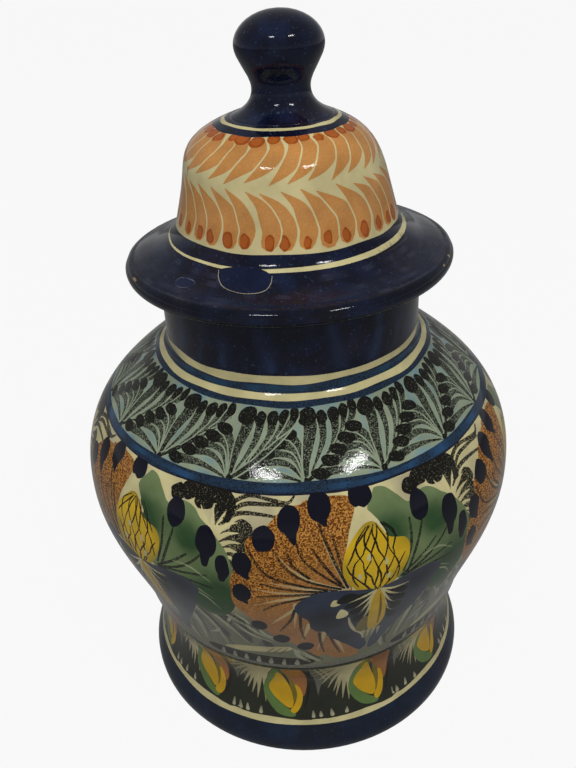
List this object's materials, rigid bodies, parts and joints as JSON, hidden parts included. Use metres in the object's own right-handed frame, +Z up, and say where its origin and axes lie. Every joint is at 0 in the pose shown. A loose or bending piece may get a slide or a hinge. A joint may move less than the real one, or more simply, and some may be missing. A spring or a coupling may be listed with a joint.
{
  "type": "lidded ceramic jar",
  "caption": "Round-bellied storage jar on a flared foot, with a domed, wide-brimmed lid and a ball knob, painted all over with bands of leaves, feathers, fruit and fans.",
  "frame": {"origin": "centre of the plane that the foot ring rests on, on the jar's axis", "axes": "+Z up along the axis of the jar and its lid; -Y faces the side of the painting that the picture shows"},
  "size_m": [0.1894, 0.1894, 0.305],
  "materials": {
    "painted_glaze": "cream tin glaze painted all over in black, orange, yellow, green and blue under a glossy coat",
    "feather_glaze": "cobalt glaze with a band of orange feather strokes on cream, glossy",
    "cobalt_glaze": "glossy cobalt glaze, nearly black where it is thick"
  },
  "bodies": {
    "jar": {"jar": "painted_glaze"},
    "lid": {"lid": "feather_glaze", "lid_knob": "cobalt_glaze"}
  },
  "joints": [
    {"name": "lid_lift", "type": "slide", "parent": "jar", "child": "lid", "axis": [0, 0, 1], "range_m": [0, 0.12]}
  ]
}
